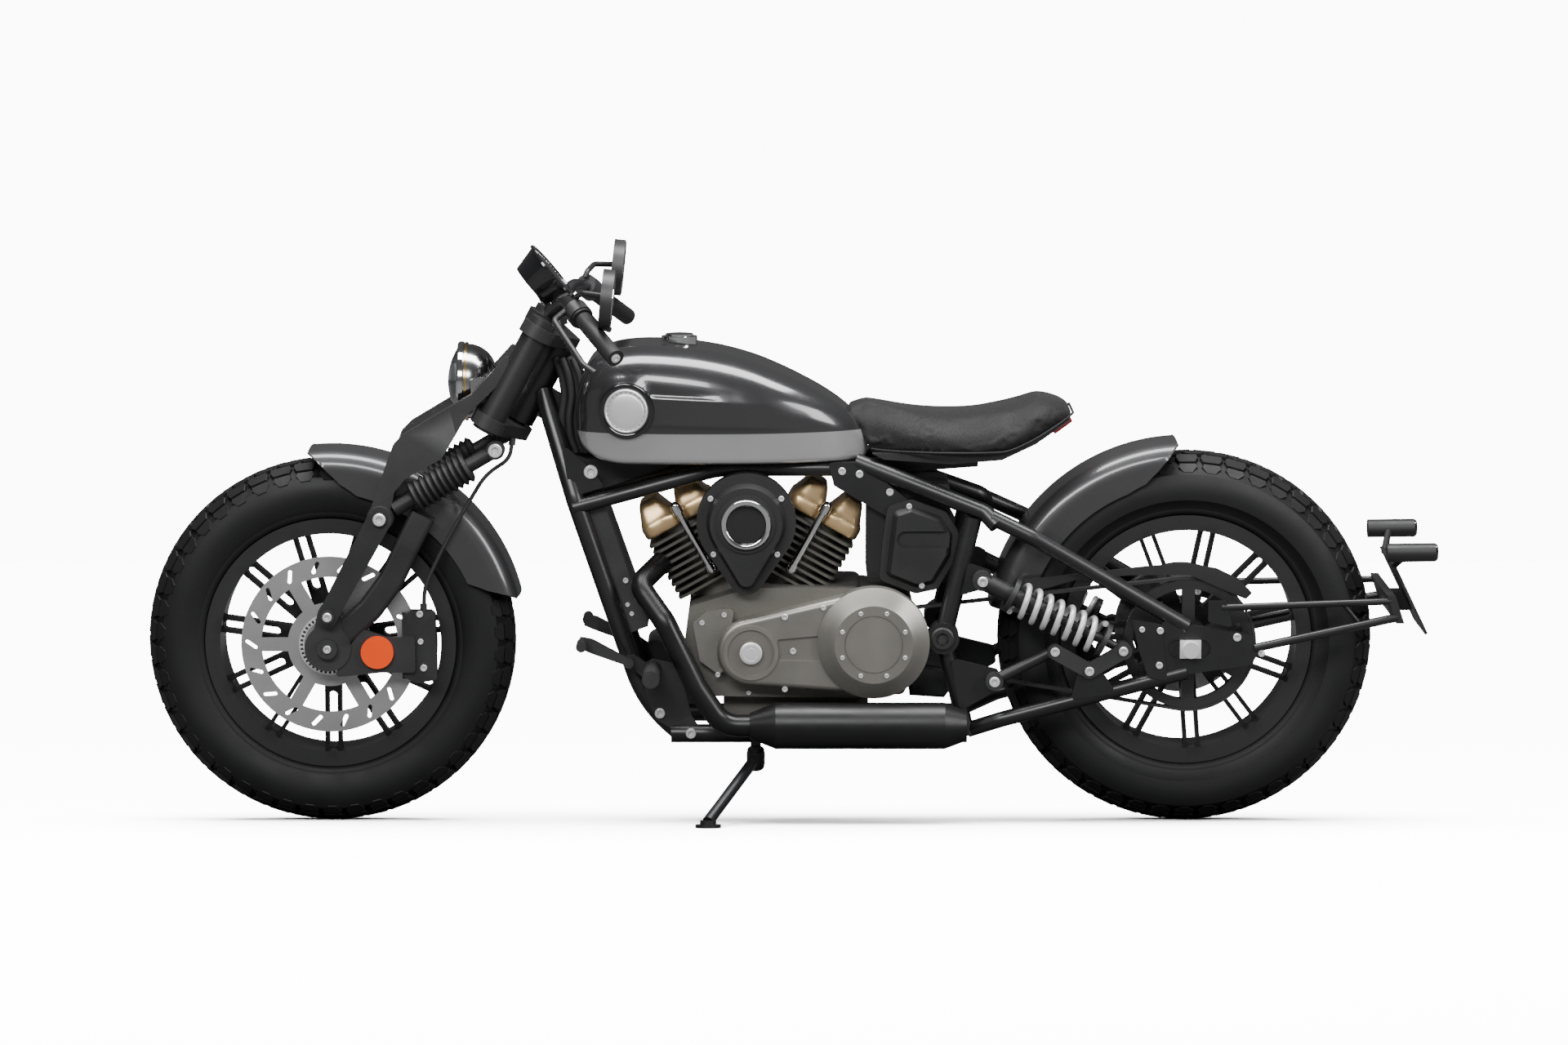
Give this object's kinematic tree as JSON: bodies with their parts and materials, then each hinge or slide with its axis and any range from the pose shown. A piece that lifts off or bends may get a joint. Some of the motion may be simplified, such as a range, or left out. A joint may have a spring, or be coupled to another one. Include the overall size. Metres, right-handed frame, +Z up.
{
  "type": "bobber motorcycle",
  "caption": "Low bobber motorcycle with a V-twin engine, leading-link fork, solo seat, fat tyres and a side stand, parked leaning on the stand.",
  "frame": {"origin": "centre of the whole box, at floor level", "axes": "+X to the front of the bike, +Y to its left, +Z up; the bike leans 8 degrees to its left on its side stand"},
  "size_m": [2.2152, 0.7092, 1.023],
  "materials": {
    "tyre": "matt black rubber",
    "wheel_black": "gloss black",
    "disc_steel": "ground",
    "frame_black": "gloss black",
    "black_casting": "satin black",
    "tank_paint": "gloss graphite",
    "chrome": "polished",
    "seat_leather": "matt black",
    "black_plastic": "matt black",
    "red_lens": "clear red",
    "orange_lens": "orange",
    "lamp_glass": "clear",
    "engine_dark": "dark olive grey",
    "head_gold": "champagne satin",
    "cover_titanium": "titanium satin",
    "spring_silver": "silver satin",
    "rubber": "matt black"
  },
  "bodies": {
    "chassis": {"frame_head": "frame_black", "frame_down_tubes": "frame_black", "frame_upper_rails": "frame_black", "frame_lower_rails": "frame_black", "frame_pivot_struts": "frame_black", "crankcase": "engine_dark", "cylinders": "engine_dark", "head_covers": "head_gold", "pushrod_tubes": "chrome", "air_cleaner": "black_plastic", "engine_covers": "cover_titanium", "exhaust": "black_casting", "radiator": "black_casting", "fuel_tank": "tank_paint", "fuel_cap": "chrome", "seat_pan": "black_plastic", "seat_pad": "seat_leather", "side_covers": "black_plastic", "swingarm": "frame_black", "rear_axle_shaft": "chrome", "rear_caliper": "black_casting", "rear_shocks": "black_casting", "shock_springs": "spring_silver", "rear_fender": "tank_paint", "drive_belt": "rubber", "belt_guard": "black_plastic", "tail_arms": "frame_black", "plate_carrier": "black_plastic", "tail_lamp": "red_lens", "foot_controls": "black_casting", "stand_bracket": "frame_black"},
    "steering": {"fork_yokes": "black_casting", "fork_arms": "black_casting", "front_dampers": "rubber", "fork_legs": "black_casting", "fork_links": "black_casting", "front_axle_shaft": "chrome", "brake_caliper": "black_casting", "brake_hose": "rubber", "reflector": "orange_lens", "headlight_shell": "chrome", "headlight_lens": "lamp_glass", "gauge": "black_plastic", "handlebar": "frame_black", "grips": "rubber", "bar_controls": "black_casting", "mirrors": "black_casting", "front_fender": "tank_paint"},
    "front_wheel": {"front_tyre": "tyre", "front_rim": "wheel_black", "front_disc": "disc_steel"},
    "rear_wheel": {"rear_tyre": "tyre", "rear_rim": "wheel_black", "rear_pulley": "wheel_black", "rear_disc": "disc_steel"},
    "side_stand": {"side_stand": "frame_black"}
  },
  "joints": [
    {"name": "steering_turn", "type": "hinge", "parent": "chassis", "child": "steering", "pos_m": [0.4346, -0.01122, 0.74987], "axis": [-0.4772, 0.1223, 0.8703], "range_deg": [-34, 34]},
    {"name": "front_wheel_spin", "type": "hinge", "parent": "steering", "child": "front_wheel", "pos_m": [0.7886, -0.07211, 0.31662], "axis": [0, 0.9903, -0.1392], "continuous": true},
    {"name": "rear_wheel_spin", "type": "hinge", "parent": "chassis", "child": "rear_wheel", "pos_m": [-0.6914, -0.07127, 0.32257], "axis": [0, 0.9903, -0.1392], "continuous": true},
    {"name": "side_stand_fold", "type": "hinge", "parent": "chassis", "child": "side_stand", "pos_m": [0.0526, 0.02438, 0.11221], "axis": [0, 0.5873, 0.8094], "range_deg": [0, 114.9]}
  ]
}
